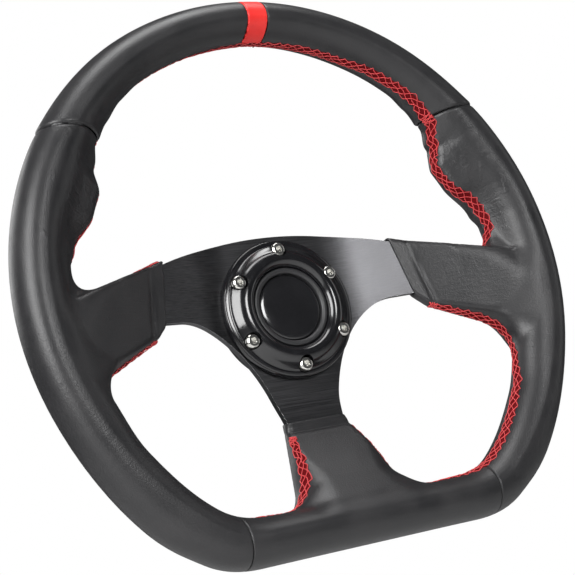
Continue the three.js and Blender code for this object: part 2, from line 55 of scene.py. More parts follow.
# A leather-wrapped flat-bottomed steering wheel on a pull-collar quick release hub.
#
# Shapes are worked out in the wheel's own frame, in millimetres: x to the driver's right, y up,
# z towards the driver, with z = 0 on the back of the spoke plate. row() turns them into the
# frame's metres, where +Z is up and the driver sits on the -Y side.

MM = 0.001
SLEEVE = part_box("qr_body")[1].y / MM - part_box("spoke_plate")[1].y / MM



def put(made):
    """Puts a new object in the scene."""
    bpy.context.scene.collection.objects.link(made)


# ---------- camera

# The photograph's viewpoint, worked out from the screw circle and the outline.
camera_data = bpy.data.cameras.new("camera")
camera_data.lens = 86.835
camera = bpy.data.objects.new("camera", camera_data)
camera.location = (-0.39696, -0.73188, -0.16454)
camera.rotation_euler = [math.radians(a) for a in (102.8763, 13.5174, -26.9994)]
put(camera)
bpy.context.scene.camera = camera

# ---------- sizes

# Rim centre line: a circle with its bottom cut off flat, and its oval section's half sizes.
RIM_RADIUS = 160.5
RIM_CENTRE_Y = 7.0
RIM_FLAT_Y = -130.5
RIM_PLANE_Z = 38.5
RIM_OUTER = 13.4
RIM_INNER = 13.3
RIM_DEPTH = 16.6
CORNER_BLEND = 8.0
# How far the outline stands outside a true circle, by angle: the lower corners are slightly square.
OUTLINE = ((-72, 0), (-63, 0.1), (-55, 0.7), (-47, 3.0), (-39, 1.6), (-31, 0.1), (-23, -0.8), (-13, -0.8),
           (0, -0.45), (20, -0.4), (55, -0.1), (72, -0.8), (90, -0.9))
# How far the thumb rests and the thicker lower grips reach inwards, by the same angle.
THUMB_REST = ((-8, 0), (3, 7), (10, 10), (14, 12), (24, 18.5), (29, 18.5), (35, 10.5), (40, 6), (46, 4),
              (52, 1.5), (60, 0))
LOWER_GRIP = ((-68, -1.4), (-52, 0.6), (-34, 2.5), (-22, 5), (-8, 5), (4, 1.5), (12, 0), (50, 0),
              (62, -0.4), (90, -1.9))
# A thumb rest's two faces start this far before and behind the rim's plane.
WEDGE_FRONT = 16.6
WEDGE_BACK = -14.0

# Spoke plate: its thickness, and where, how steeply and how softly the arms bend forward.
PLATE = 4.5
SIDE_BEND_X = 43.0
SIDE_SLOPE = 0.3
SIDE_BEND_ROUND = 12.0
BOTTOM_BEND_Y = -55.0
BOTTOM_SLOPE = 0.27
BOTTOM_BEND_ROUND = 5.0
BOTTOM_BEND_2_Y = -74.0
BOTTOM_SLOPE_2 = 0.53
BOTTOM_BEND_2_ROUND = 3.0
SIDE_ARM_END = 152.5
BOTTOM_ARM_END = -124.6
HUB_HOLE = 22.0
LEATHER_OVER_PLATE = 1.5

# Seams between the leather pieces.
UPPER_SEAM = (127.0, 103.5)
UPPER_SEAM_TILT = math.radians(8.4)
LOWER_SEAM_X = 80.0
SIDE_SEAM_U = 76.0           # along x, leaning by SIDE_SEAM_LEAN for each mm of y
SIDE_SEAM_LEAN = 0.19
SIDE_SEAM_TOP = 33.0
BOTTOM_SEAM_Y = -66.5
CREASE_AFTER_SEAM = 9.5      # the leather turns away from the plate at a pressed crease
BOTTOM_CREASE_AFTER_SEAM = 6.0
CREASE_RISE = 0.27
CREASE_ROUND = 1.5
BLADE_TOP_Z = 51.0           # the leather over the arms rises no higher than this
MARKER_HALF = 6.5

# Foam under the leather: it stops just inside the leather's ends.
LEATHER_THICKNESS = 2.6
FOAM_END_U = 81.0
FOAM_END_Y = -71.0

# Distances are sampled on blocks of this spacing and extent.
GRID = 1.35
FOAM_GRID = 2.7
LEATHER_BLOCK_X = 179
FOAM_BLOCK_X = 178.2
BLOCK_Y = (-149, 185)
BLOCK_Z = (-3, 62)

# Leather edges: extra lines of points at these depths, and how far the edge turns in.
EDGE_LOOPS = (0.35, 0.8, 1.5, 2.6, 4.2)
EDGE_ZONE = 7.0
EDGE_SPARE = 6.0             # faces this far beyond a seam are taken too, and then cut off
EDGE_TURN = 1.5

# Hub.
SCREW_CIRCLE = 35.0
SCREW_HOLE_RADIUS = 2.85
SCREW_ANGLES = [math.radians(30 + 60 * i) for i in range(6)]
BALL_ANGLES = [math.radians(60 * i) for i in range(6)]
BALL_RADIUS = 3.175
BALL_DEPTH = 22.0
BALL_CENTRE = 14.875
SPLINE_TEETH = 20
KNURL_RADIUS = 24.55
KNURL_DEPTH = 0.32

# Lacing: a thread crosses from edge to edge in each stitch length.
LACE_STEP = 0.42
STITCH = 12.5
LACE_HALF = 4.0
THREAD_RADIUS = 0.28
LACE_SEAM_Y = 101.0          # where the top lacing crosses the upper seams


def row(points):
    """Wheel-frame millimetres to the frame's metres."""
    p = np.asarray(points, float).reshape(-1, 3)
    return np.stack([p[:, 0], -p[:, 2] - SLEEVE, p[:, 1]], axis=1) * MM


# ---------- maths of the leather's surface

def unit(vectors):
    return vectors / np.linalg.norm(vectors, axis=-1, keepdims=True)


def distance_along(line):
    return np.concatenate([[0], np.cumsum(np.linalg.norm(np.diff(line, axis=0), axis=1))])


def smooth_min(a, b, k):
    """The smaller value, rounded off where the two are within k of each other."""
    h = np.maximum(k - np.abs(a - b), 0) / k
    return np.minimum(a, b) - h * h * k / 4


def smooth_max(a, b, k):
    return -smooth_min(-a, -b, k)


def step(low, high, x):
    t = np.clip((x - low) / (high - low), 0, 1)
    return t * t * (3 - 2 * t)


def side_place(x, y):
    """Distance from the middle along x, measured level with the top of the leaning side seams."""
    return x + SIDE_SEAM_LEAN * (y - SIDE_SEAM_TOP)


def along(pairs, x):
    """Smooth interpolation in a short list of (position, value) pairs."""
    value = np.full(np.shape(x), float(pairs[0][1]))
    for (x0, y0), (x1, y1) in zip(pairs, pairs[1:]):
        value = value + (y1 - y0) * step(x0, x1, x)
    return value


def gently(pairs, x):
    """Straight interpolation in a short list of (position, value) pairs, with the corners rounded."""
    places, values = zip(*pairs)
    return sum(np.interp(x + shift, places, values) for shift in (-3, -1, 1, 3)) / 4


def side_arm_z(x):
    """Height of the middle of the plate's thickness along a side arm."""
    return PLATE / 2 + SIDE_SLOPE * smooth_max(0 * x, x - SIDE_BEND_X, SIDE_BEND_ROUND)


def bottom_arm_z(y):
    """The same along the bottom arm, which bends twice."""
    first = smooth_max(0 * y, BOTTOM_BEND_Y - y, BOTTOM_BEND_ROUND)
    second = smooth_max(0 * y, BOTTOM_BEND_2_Y - y, BOTTOM_BEND_2_ROUND)
    return PLATE / 2 + BOTTOM_SLOPE * first + (BOTTOM_SLOPE_2 - BOTTOM_SLOPE) * second


def rim_place(x, y):
    """Angle above the horizontal in degrees, and distance outwards from the rim's centre line."""
    rise = y - RIM_CENTRE_Y
    angle = np.degrees(np.arctan2(rise, np.abs(x)))
    across = smooth_max(np.hypot(x, rise) - RIM_RADIUS, RIM_FLAT_Y - y, CORNER_BLEND)
    return angle, across


def rim_field(x, y, z):
    """The padded rim with its thumb rest."""
    angle, across = rim_place(x, y)
    w = z - RIM_PLANE_Z
    outer = RIM_OUTER + gently(OUTLINE, angle)
    inner = RIM_INNER + along(LOWER_GRIP, angle)
    half = np.where(across > 0, outer, inner)
    k0 = np.sqrt((across / half) ** 2 + (w / RIM_DEPTH) ** 2)
    k1 = np.sqrt((across / half ** 2) ** 2 + (w / RIM_DEPTH ** 2) ** 2)
    oval = k0 * (k0 - 1) / np.maximum(k1, 1e-6)

    # Thumb rest: a blunt wedge that leans away from the driver.
    reach = along(THUMB_REST, angle)
    share = np.minimum(reach / 12, 1)
    tip = -(RIM_INNER - 1.5 * (1 - share) + reach)
    proud = (3.5 * step(18, 24, angle) * step(42, 34, angle)
             - 3 * step(3, 10, angle) * step(22, 17, angle))
    front_tip, back_tip = 6 - 12 * share + proud, -6 - 10 * share
    front_slope = (front_tip - WEDGE_FRONT) / (tip + 3)
    back_slope = (back_tip - WEDGE_BACK) / (tip + 2)
    front = (w - WEDGE_FRONT - front_slope * (across + 3)) / np.sqrt(1 + front_slope ** 2)
    back = (WEDGE_BACK + back_slope * (across + 2) - w) / np.sqrt(1 + back_slope ** 2)
    wedge = smooth_max(smooth_max(front, tip - across, 4.5), back, 7.0)
    wedge = smooth_max(wedge, across + 1, 6.0)
    return smooth_min(oval, wedge, 1.5 + (1 + 5 * share) * step(-2, -14, across))


def side_blade_field(x, y, z):
    """The flat leather over a side arm."""
    u = side_place(x, y)
    crease = u - (SIDE_SEAM_U + CREASE_AFTER_SEAM)
    groove = 0.8 * np.exp(-(crease / 1.5) ** 2) * (0.15 + 0.85 * step(26, 6, y))
    rise = CREASE_RISE * smooth_max(0 * u, crease, CREASE_ROUND)
    surface = side_arm_z(x) + PLATE / 2 + LEATHER_OVER_PLATE + rise - groove
    front = (z - smooth_min(surface, BLADE_TOP_Z + 0 * u, 4.0)) * 0.88
    back = (8.4 + 0.27 * (x - 76) - z) * 0.96
    top = (y - SIDE_SEAM_TOP - 2 + 0.36 * (x - 76)) * 0.94
    lower_wall = (-9.6 - 0.43 * (x - 89.5) - 0.3 * (surface - z) - y) * 0.87
    low = np.maximum((-3.6 - (x - 83) - y) * 0.707, lower_wall)
    body = smooth_max(smooth_max(front, low, 2.2), top, 2.6)

    # Beyond a curve that runs from the arm's upper edge round to its lower corner, the face falls
    # away to the rim.
    beyond = (np.hypot((x - 100) / 48, (y + 34) / 56) - 1) * 50
    slope = 0.2 + 0.3 * step(-20, 12, y)
    fall = (z - surface + slope * beyond) / np.sqrt(1.32 + slope ** 2) - 8 * step(112, 98, x)
    body = smooth_max(body, fall, 2.0 + 9 * step(-16, -32, y))
    return np.maximum(smooth_max(body, back, 4.0), np.maximum(x - 152, 70 - u))


def bottom_blade_field(x, y, z):
    """The leather over the bottom arm."""
    crease = BOTTOM_SEAM_Y - BOTTOM_CREASE_AFTER_SEAM - y
    groove = 1.0 * np.exp(-(crease / 1.1) ** 2)
    rise = CREASE_RISE * smooth_max(0 * y, crease, CREASE_ROUND)
    surface = bottom_arm_z(y) + PLATE / 2 + LEATHER_OVER_PLATE + rise - groove
    front = (z - smooth_min(surface, BLADE_TOP_Z - 1 + 0 * y, 8.0)) * 0.8
    back = (2.5 + 0.42 * (-70 - y) - z) * 0.92
    side = (x - 20.8 - 0.25 * (-72 - y) - 0.12 * (surface - z)) * 0.95
    body = smooth_max(smooth_max(front, side, 3.0 + 11 * step(-82, -108, y)), back, 4.0)
    return np.maximum(body, np.maximum(y + 58, -127 - y))


def leather_field(p):
    """Roughly the distance outside the leather's surface, in mm; the wheel is the same on both sides."""
    x, y, z = np.abs(p[..., 0]), p[..., 1], p[..., 2]
    rim = rim_field(x, y, z)
    _, across = rim_place(x, y)
    inside = step(1, -11, across)
    upper = 3 + inside * (1 + 15 * step(-12, 18, y) * step(44, 34, z)
                          + 17 * step(56, 38, z) * step(-12, -30, y))
    whole = smooth_min(rim, side_blade_field(x, y, z), upper)
    return smooth_min(whole, bottom_blade_field(x, y, z), 3 + inside * (3 + 9 * step(46, 36, z)))


def field_normal(p):
    """The direction in which the distance grows, by small steps either way."""
    e = 0.05
    parts = []
    for axis in range(3):
        shift = np.zeros(3)
        shift[axis] = e
        parts.append(leather_field(p + shift) - leather_field(p - shift))
    return np.stack(parts, axis=-1) / (2 * e)


def project(p, rounds=3):
    """Moves points onto the surface, and gives the unit normals there too."""
    for _ in range(rounds):
        g = field_normal(p)
        size = np.sum(g * g, axis=-1, keepdims=True)
        p = p - np.expand_dims(leather_field(p), -1) * g / np.maximum(size, 0.05)
    return p, unit(field_normal(p))


# ---------- leather mesh

def sampled(field, xs, spacing):
    """Distances on a block of points, cut off beyond three steps from the surface."""
    yy, zz = np.meshgrid(np.arange(*BLOCK_Y, spacing), np.arange(*BLOCK_Z, spacing), indexing="ij")
    slices = []
    for x in xs:
        p = np.stack([np.full_like(yy, x), yy, zz], axis=-1)
        slices.append(np.clip(field(p), -3 * spacing, 3 * spacing).astype(np.float32))
    return np.stack(slices)


def surface_of(block, spacing, first_x):
    """Points (mm) and quads where a block's distances are zero."""
    grid = openvdb.FloatGrid(3 * spacing)
    grid.copyFromArray(block)
    points, quads = grid.convertToQuads(isovalue=0.0)
    start = np.array([first_x, BLOCK_Y[0], BLOCK_Z[0]])
    return np.asarray(points, float) * spacing + start, np.asarray(quads, int)


def leather_mesh():
    """The whole skin as points (mm) and quads; the left half mirrors the right."""
    xs = np.arange(0, LEATHER_BLOCK_X, GRID)
    half = sampled(leather_field, xs, GRID)
    points, quads = surface_of(np.concatenate([half[:0:-1], half]), GRID, -xs[-1])
    return project(points)[0], quads


def foam_field(p):
    """The leather's field moved inwards, ending just inside the leather's ends on the three arms."""
    x, y = np.abs(p[..., 0]), p[..., 1]
    bottom_end = np.where((y < 0) & (x < 50), y - FOAM_END_Y, -99)
    end = np.where(np.abs(y) < 48, FOAM_END_U - side_place(x, y), bottom_end)
    return np.maximum(leather_field(p) + LEATHER_THICKNESS, end)


def foam_core():
    xs = np.arange(-FOAM_BLOCK_X, FOAM_BLOCK_X + 0.1, FOAM_GRID)
    points, quads = surface_of(sampled(foam_field, xs, FOAM_GRID), FOAM_GRID, xs[0])
    mesh = mesh_of("moulded_foam_core", points, quads.tolist(), FOAM)
    mesh.shade_smooth()
    outward(mesh)
    add(mesh.name, mesh, replaces=["rim_foam"])


def wrinkles(points, normals):
    """Height of the creased and gathered leather, in mm, and how creased each point is."""
    angle, across = rim_place(points[:, 0], points[:, 1])
    w = points[:, 2] - RIM_PLANE_Z
    s = np.radians(angle) * RIM_RADIUS
    facing = np.clip(normals[:, 2], 0, 1)
    rest = (step(8, 20, angle) * step(40, 30, angle)
            * step(-4, -10, across) * step(-32, -22, across) * facing)
    grip = 0.25 * step(-48, -30, angle) * step(30, 0, angle)
    amount = np.clip(rest + grip, 0, 1)
    side = np.where(points[:, 0] > 0, 1.0, -1.0)
    ripple = np.zeros(len(points))
    for k, lean, phase in ((0.85, 0.2, 0.4), (1.1, -0.3, 2.2), (0.65, 0.1, 4.1), (1.3, 0.4, 1.3)):
        bend = 1.7 * np.sin(0.21 * across + side * phase) + 1.1 * np.sin(0.13 * w + phase)
        ripple += np.sin(k * s + lean * across + bend + phase * side)
    height = 0.03 * amount * ripple
    swell = np.sin(0.09 * s + side) * np.sin(0.17 * across + 0.11 * w + 1.3 * side)
    return height + 0.05 * swell * step(60, 20, np.abs(angle)), amount


def cut(bm, point, normal, clear, near=None):
    """Cuts a bmesh along a plane; clear removes the side that the normal points to."""
    faces = [f for f in bm.faces if near is None or near(f.calc_center_median())]
    edges = {e for f in faces for e in f.edges}
    verts = {v for e in edges for v in e.verts}
    bmesh.ops.bisect_plane(
        bm, geom=faces + list(edges) + list(verts), dist=0.1, plane_co=point, plane_no=normal,
        clear_outer=clear)


def seam(point, inward, proud=0.0, roll=1.5, near=None):
    """A leather piece's edge: a plane, the way into the piece, and how far the edge stands up."""
    inward = Vector(inward).normalized()
    return {"point": Vector(point), "in": inward, "proud": proud, "roll": roll, "near": near}


def leather_piece(name, skin, region, seams, material):
    """One wrapped piece: the skin's faces in a region, trimmed along its seams with rolled edges."""
    points, quads = skin
    centres = points[quads].mean(axis=1)
    mine = quads[region(centres)]
    used, faces = np.unique(mine, return_inverse=True)
    faces = faces.reshape(-1, 4)
    mesh = bpy.data.meshes.new(name)
    mesh.from_pydata(points[used].tolist(), [], faces.tolist())
    bm = bmesh.new()
    bm.from_mesh(mesh)
    for s in seams:
        cut(bm, s["point"], -s["in"], True, s["near"])

        def near_edge(c, s=s):
            return (c - s["point"]).dot(s["in"]) < EDGE_ZONE and (s["near"] is None or s["near"](c))

        for depth in EDGE_LOOPS:
            cut(bm, s["point"] + s["in"] * depth, s["in"], False, near_edge)
    bmesh.ops.delete(bm, geom=[v for v in bm.verts if not v.link_faces], context="VERTS")
    bmesh.ops.remove_doubles(bm, verts=bm.verts, dist=0.06)

    # Add the creases, and roll the edges in.
    co = np.array([v.co for v in bm.verts])
    _, normals = project(co, rounds=0)
    height, creased = wrinkles(co, normals)
    for s in seams:
        depth = np.maximum((co - np.array(s["point"])) @ np.array(s["in"]), 0)
        here = np.ones(len(co), bool)
        if s["near"] is not None:
            here = np.array([s["near"](v.co) for v in bm.verts])
        roll = s["roll"]
        inset = np.clip(roll - depth, 0, roll)
        rolled = roll - np.sqrt(np.maximum(roll ** 2 - inset ** 2, 0))
        height = height + np.where(here, s["proud"] * np.exp(-depth / 5) - rolled, 0)
    co = co + normals * height[:, None]
    for v, p in zip(bm.verts, co):
        v.co = p
    bm.verts.index_update()
    bm.normal_update()

    # The edges turn in over the foam.
    outline = [e for e in bm.edges if e.is_boundary]
    inwards = {v.index: -Vector(normals[v.index]) for e in outline for v in e.verts}
    turned = bmesh.ops.extrude_edge_only(bm, edges=outline)["geom"]
    bm.verts.ensure_lookup_table()
    new = [g for g in turned if isinstance(g, bmesh.types.BMVert)]
    for v in new:
        twin = min((e.other_vert(v) for e in v.link_edges if e.other_vert(v) not in new),
                   key=lambda o: (o.co - v.co).length, default=None)
        if twin is not None and twin.index in inwards:
            v.co = v.co + inwards[twin.index] * EDGE_TURN
    bm.to_mesh(mesh)
    bm.free()

    finished = np.array([v.co for v in mesh.vertices])
    angle, across = rim_place(finished[:, 0], finished[:, 1])
    straight = np.stack([np.radians(angle) * RIM_RADIUS, across, finished[:, 2] - RIM_PLANE_Z], axis=1)
    flow = mesh.attributes.new("straight", "FLOAT_VECTOR", "POINT")
    flow.data.foreach_set("vector", straight.astype(np.float32).ravel())
    crease = mesh.attributes.new("creased", "FLOAT", "POINT")
    creased = np.concatenate([creased, np.zeros(len(finished) - len(co))])
    crease.data.foreach_set("value", creased.astype(np.float32))
    mesh.vertices.foreach_set("co", row(finished).astype(np.float32).ravel())
    mesh.shade_smooth()
    mesh.materials.append(material)
    return add(name, mesh)


def add(name, mesh, body="wheel", replaces=None):
    """Makes a piece that rides on a body, and hides the CAD pieces it stands for."""
    made = bpy.data.objects.new(name, mesh)
    put(made)
    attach(made, body)
    if replaces:
        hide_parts(*replaces)
    return made


# ---------- materials

class Nodes:
    """Short forms for building a material's nodes."""

    def __init__(self, name):
        self.material = bpy.data.materials.new(name)
        self.material.use_nodes = True
        self.tree = self.material.node_tree
        self.shader = self.tree.nodes["Principled BSDF"]

    def new(self, kind, **values):
        node = self.tree.nodes.new(kind)
        for key, value in values.items():
            setattr(node, key, value)
        return node

    def link(self, source, target):
        self.tree.links.new(source, target)

    def set(self, **values):
        for key, value in values.items():
            self.shader.inputs[key.replace("_", " ")].default_value = value

    def scaled(self, vector, scale):
        mapping = self.new("ShaderNodeMapping")
        mapping.inputs["Scale"].default_value = scale
        self.link(vector, mapping.inputs["Vector"])
        return mapping.outputs["Vector"]

    def place(self, scale=(1, 1, 1)):
        """The piece's own coordinates in metres, times a scale on each axis."""
        return self.scaled(self.new("ShaderNodeTexCoord").outputs["Object"], scale)

    def attribute(self, name, scale):
        return self.scaled(self.new("ShaderNodeAttribute", attribute_name=name).outputs["Vector"], scale)

    def noise(self, where, scale=1.0, detail=3.0, roughness=0.5):
        node = self.new("ShaderNodeTexNoise")
        for key, value in (("Scale", scale), ("Detail", detail), ("Roughness", roughness)):
            node.inputs[key].default_value = value
        self.link(where, node.inputs["Vector"])
        return node.outputs["Fac"]

    def remap(self, source, low, high, to_low, to_high):
        node = self.new("ShaderNodeMapRange")
        for key, value in zip(("From Min", "From Max", "To Min", "To Max"), (low, high, to_low, to_high)):
            node.inputs[key].default_value = value
        self.link(source, node.inputs["Value"])
        return node.outputs["Result"]

    def maths(self, operation, a, b):
        node = self.new("ShaderNodeMath", operation=operation)
        for socket, value in zip(node.inputs, (a, b)):
            if isinstance(value, (int, float)):
                socket.default_value = value
            else:
                self.link(value, socket)
        return node.outputs["Value"]

    def colours(self, source, *stops):
        node = self.new("ShaderNodeValToRGB")
        ramp = node.color_ramp
        for i, (at, colour) in enumerate(stops):
            element = ramp.elements[i] if i < 2 else ramp.elements.new(at)
            element.position = at
            element.color = (*colour, 1)
        self.link(source, node.inputs["Fac"])
        self.link(node.outputs["Color"], self.shader.inputs["Base Color"])

    def bump(self, height, strength, distance, under=None):
        node = self.new("ShaderNodeBump")
        node.inputs["Strength"].default_value = strength
        node.inputs["Distance"].default_value = distance
        self.link(height, node.inputs["Height"])
        if under is not None:
            self.link(under, node.inputs["Normal"])
        self.link(node.outputs["Normal"], self.shader.inputs["Normal"])
        return node.outputs["Normal"]


def leather_material(name, dark, light, roughness):
    m = Nodes(name)
    fine = m.new("ShaderNodeTexVoronoi", feature="SMOOTH_F1")
    fine.inputs["Scale"].default_value = 1150
    fine.inputs["Smoothness"].default_value = 0.35
    m.link(m.place(), fine.inputs["Vector"])
    pores = m.noise(m.place(), 2600, 2, 0.5)
    clouds = m.noise(m.place(), 38, 4, 0.6)
    m.colours(clouds, (0.32, dark), (0.72, light))
    mottled = m.maths("ADD", m.remap(clouds, 0.3, 0.7, -0.05, 0.05),
                      m.remap(pores, 0.3, 0.7, -0.05, 0.05))
    m.link(m.maths("ADD", mottled, roughness), m.shader.inputs["Roughness"])
    grain = m.maths("ADD", fine.outputs["Distance"], m.maths("MULTIPLY", pores, 0.35))
    first = m.bump(grain, 0.32, 0.00016)
    lines = m.noise(m.attribute("straight", (0.62, 0.1, 0.1)), 1.0, 4, 0.62)
    amount = m.new("ShaderNodeAttribute", attribute_name="creased").outputs["Fac"]
    creases = m.maths("MULTIPLY", lines, m.remap(amount, 0, 1, 0.09, 1.0))
    m.set(Specular_IOR_Level=0.42)
    m.bump(creases, 0.42, 0.0008, first)
    return m.material


def thread_material():
    m = Nodes("red_thread")
    twist = m.new("ShaderNodeAttribute", attribute_name="twist").outputs["Fac"]
    wave = m.maths("SINE", m.maths("MULTIPLY", twist, 2 * math.pi), 0)
    # Darker where the twist's bump is low: painted shade in the grooves between the plies, lighter on their
    # crests.
    m.colours(m.remap(wave, -1, 1, 0, 1), (0.1, (0.29, 0.006, 0.009)), (0.75, (0.65, 0.044, 0.048)))
    m.set(Roughness=0.55, Sheen_Weight=0.1)
    m.bump(wave, 0.5, 0.00012)
    return m.material


def lacing_shade_material():
    m = Nodes("lacing_painted_shade")
    # Dark red: painted shade between the laced threads, tinted red by painted light off the thread.
    m.colours(m.noise(m.place(), 1500, 3, 0.6), (0.3, (0.05, 0.001, 0.002)), (0.8, (0.14, 0.003, 0.005)))
    m.set(Roughness=0.9, Specular_IOR_Level=0.1)
    return m.material


def gloss_material(name, colour, roughness, coat=0.6):
    m = Nodes(name)
    haze = m.noise(m.place(), 60, 4, 0.6)
    m.colours(haze, (0.3, tuple(c * 0.8 for c in colour)), (0.7, tuple(c * 1.2 for c in colour)))
    m.link(m.remap(haze, 0.3, 0.7, roughness * 0.7, roughness * 1.4), m.shader.inputs["Roughness"])
    m.set(Coat_Weight=coat, Coat_Roughness=0.09)
    m.bump(m.noise(m.place(), 700, 2, 0.5), 0.03, 0.0001)
    return m.material


def brushed_material(name, dark, light, roughness, grain, metallic=1.0, depth=0.14):
    m = Nodes(name)
    lines = m.noise(m.place(grain), 1.0, 5, 0.7)
    clouds = m.noise(m.place(), 25, 3, 0.5)
    m.colours(m.maths("ADD", m.maths("MULTIPLY", lines, 0.75), m.maths("MULTIPLY", clouds, 0.25)),
              (0.3, dark), (0.72, light))
    m.link(m.remap(lines, 0.25, 0.75, roughness * 0.75, roughness * 1.3), m.shader.inputs["Roughness"])
    m.set(Metallic=metallic)
    m.bump(lines, depth, 0.0001)
    return m.material


def plain_material(name, dark, light, roughness, scale, metallic=0.0, depth=0.2):
    m = Nodes(name)
    speckle = m.noise(m.place(), scale, 4, 0.6)
    m.colours(speckle, (0.3, dark), (0.72, light))
    m.link(m.remap(speckle, 0.25, 0.75, roughness * 0.8, roughness * 1.15), m.shader.inputs["Roughness"])
    m.set(Metallic=metallic)
    m.bump(speckle, depth, 0.0002)
    return m.material


LEATHER = leather_material("black_leather", (0.011, 0.011, 0.012), (0.019, 0.0185, 0.0195), 0.4)
RED_LEATHER = leather_material("red_leather", (0.55, 0.012, 0.01), (0.75, 0.03, 0.024), 0.42)
THREAD = thread_material()
# The strip under the lacing is painted shade.
LACING_SHADE = lacing_shade_material()
GLOSS = gloss_material("gloss_black", (0.006, 0.006, 0.007), 0.17, 0.35)
CAP_GLOSS = gloss_material("cap_gloss_black", (0.008, 0.008, 0.009), 0.12)
ANODISED = brushed_material("brushed_black_anodised", (0.035, 0.035, 0.037), (0.115, 0.115, 0.12), 0.36,
                            (28, 500, 2600))
CHAMFER = brushed_material("bright_chamfer", (0.35, 0.35, 0.36), (0.6, 0.6, 0.61), 0.28, (400, 400, 400))
STAINLESS = brushed_material("polished_stainless", (0.6, 0.59, 0.56), (0.85, 0.84, 0.8), 0.16,
                             (300, 3000, 300))
STEEL = plain_material("plain_steel", (0.32, 0.33, 0.34), (0.5, 0.5, 0.51), 0.35, 900, 1.0)
HUB = brushed_material("turned_black_anodised", (0.02, 0.02, 0.022), (0.05, 0.05, 0.054), 0.32,
                       (60, 3200, 60))
COLLAR = brushed_material("gunmetal_anodised", (0.1, 0.1, 0.105), (0.19, 0.19, 0.2), 0.3, (60, 3000, 60))
PLASTIC = plain_material("satin_black_plastic", (0.012, 0.012, 0.013), (0.026, 0.026, 0.028), 0.42, 1400)
FOAM = plain_material("moulded_foam", (0.02, 0.02, 0.019), (0.045, 0.045, 0.042), 0.9, 2500)
BRASS = plain_material("brass", (0.42, 0.27, 0.07), (0.62, 0.43, 0.14), 0.3, 500, 1.0)


# ---------- turned and cut pieces

def mesh_of(name, points, faces, material):
    mesh = bpy.data.meshes.new(name)
    mesh.from_pydata(row(points).tolist(), [], faces)
    mesh.materials.append(material)
    return mesh


def finished_mesh(name, bm):
    mesh = bpy.data.meshes.new(name)
    bm.to_mesh(mesh)
    bm.free()
    return mesh


def turned_mesh(name, profile, segments, material, shape=None):
    """A solid turned about the hub axis; the profile is a closed loop of (radius, z)."""
    points, rings = [], []
    for r, z in profile:
        if r == 0:
            rings.append([len(points)] * segments)
            points.append((0, 0, z))
            continue
        rings.append(list(range(len(points), len(points) + segments)))
        for i in range(segments):
            turn = 2 * math.pi * i / segments
            reach = r if shape is None else shape(r, z, turn)
            points.append((reach * math.cos(turn), reach * math.sin(turn), z))
    faces = []
    for a, b in zip(rings, rings[1:] + rings[:1]):
        for i in range(segments):
            j = (i + 1) % segments
            corners = list(dict.fromkeys((a[i], a[j], b[j], b[i])))
            if len(corners) > 2:
                faces.append(corners)
    mesh = mesh_of(name, points, faces, material)
    outward(mesh)
    return mesh


def crisp(mesh, angle):
    """Smooth shading, except at edges sharper than an angle in degrees."""
    mesh.shade_smooth()
    mesh.set_sharp_from_angle(angle=math.radians(angle))


def outward(mesh):
    """Turns every face outwards."""
    bm = bmesh.new()
    bm.from_mesh(mesh)
    bmesh.ops.recalc_face_normals(bm, faces=bm.faces)
    bm.to_mesh(mesh)
    bm.free()


def curve_through(points, steps=6):
    """A smooth line through a few points (Catmull-Rom)."""
    p = [points[0], *points, points[-1]]
    out = []
    for i in range(1, len(p) - 2):
        for k in range(steps):
            t = k / steps
            out.append(tuple(
                0.5 * (2 * b + (c - a) * t + (2 * a - 5 * b + 4 * c - d) * t * t
                       + (3 * b - a - 3 * c + d) * t ** 3)
                for a, b, c, d in zip(p[i - 1], p[i], p[i + 1], p[i + 2])))
    return [*out, tuple(points[-1])]


def bar_mesh(name, radius, z0, z1, segments, x=0.0, y=0.0, start=0.0):
    points, faces = [], []
    for z in (z0, z1):
        for i in range(segments):
            turn = start + 2 * math.pi * i / segments
            points.append((x + radius * math.cos(turn), y + radius * math.sin(turn), z))
    for i in range(segments):
        j = (i + 1) % segments
        faces.append((i, j, segments + j, segments + i))
    faces += [tuple(range(segments))[::-1], tuple(range(segments, 2 * segments))]
    return mesh_of(name, points, faces, STEEL)


def combine(name, meshes):
    bm = bmesh.new()
    for mesh in meshes:
        bm.from_mesh(mesh)
    return finished_mesh(name, bm)


def subtract(mesh, tool):
    """The mesh with another closed mesh cut out of it."""
    a = bpy.data.objects.new("cut_from", mesh)
    b = bpy.data.objects.new("cut_by", tool)
    for o in (a, b):
        put(o)
    modifier = a.modifiers.new("cut", "BOOLEAN")
    modifier.operation, modifier.object, modifier.solver = "DIFFERENCE", b, "EXACT"
    result = bpy.data.meshes.new_from_object(a.evaluated_get(bpy.context.evaluated_depsgraph_get()))
    materials = list(mesh.materials)
    bpy.data.objects.remove(a)
    bpy.data.objects.remove(b)
    result.materials.clear()
    for material in materials:
        result.materials.append(material)
    result.name = mesh.name
    return result


def soften(piece, width, segments=2, angle=30, material=-1):
    """Rounded edges, and smooth shading between them; material is a slot number for the bevels."""
    piece.data.shade_smooth()
    bevel = piece.modifiers.new("edges", "BEVEL")
    bevel.width, bevel.segments = width * MM, segments
    bevel.limit_method, bevel.angle_limit = "ANGLE", math.radians(angle)
    bevel.harden_normals = True
    bevel.material = material
    return piece


SCREW_PLACES = [(SCREW_CIRCLE * math.cos(a), SCREW_CIRCLE * math.sin(a)) for a in SCREW_ANGLES]


def screw_holes(z0=-20, z1=40):
    holes = [bar_mesh("hole", SCREW_HOLE_RADIUS, z0, z1, 28, x, y) for x, y in SCREW_PLACES]
    return combine("holes", holes)


# ---------- spoke plate

def bezier(points, steps):
    """Points along a Bezier curve, without its first."""
    out = []
    degree = len(points) - 1
    for k in range(1, steps + 1):
        t = k / steps
        weights = [math.comb(degree, i) * t ** i * (1 - t) ** (degree - i) for i in range(len(points))]
        out.append(tuple(sum(w * p[a] for w, p in zip(weights, points)) for a in (0, 1)))
    return out


